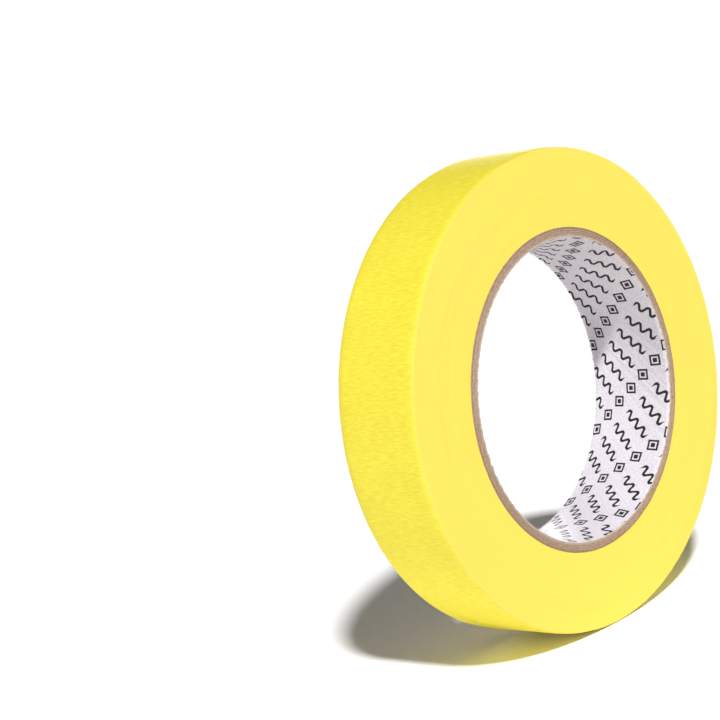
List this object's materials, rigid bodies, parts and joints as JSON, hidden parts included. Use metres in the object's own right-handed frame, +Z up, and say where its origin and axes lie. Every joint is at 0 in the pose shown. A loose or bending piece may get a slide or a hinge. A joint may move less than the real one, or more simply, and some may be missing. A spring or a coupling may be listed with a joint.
{
  "type": "masking tape roll",
  "caption": "Roll of crepe paper masking tape on a paper-lined kraft core, standing on its edge, with a free end that peels back from the top of the roll.",
  "frame": {"origin": "on the floor under the middle of the roll, midway between its two side faces", "axes": "+Y along the roll's axis, from the front side face to the back one; +Z up; +X to the right as seen from the front"},
  "size_m": [0.1212, 0.0246, 0.1213],
  "materials": {
    "liner_paper": "matte",
    "kraft_board": "matte",
    "crepe_paper": "matte",
    "adhesive": "satin"
  },
  "bodies": {
    "roll": {"core_liner": "liner_paper", "core_ply_1": "kraft_board", "core_ply_2": "kraft_board", "core_ply_3": "kraft_board", "core_ply_4": "kraft_board", "core_ply_5": "kraft_board", "wound_tape": "crepe_paper", "last_wrap_backing": "crepe_paper", "last_wrap_adhesive": "adhesive"},
    "free_end": {"free_end_backing": "crepe_paper", "free_end_adhesive": "adhesive"}
  },
  "joints": [
    {"name": "free_end_peel", "type": "hinge", "parent": "roll", "child": "free_end", "pos_m": [0.01033, 0, 0.12048], "axis": [0, -1, 0], "range_deg": [0, 150]}
  ]
}
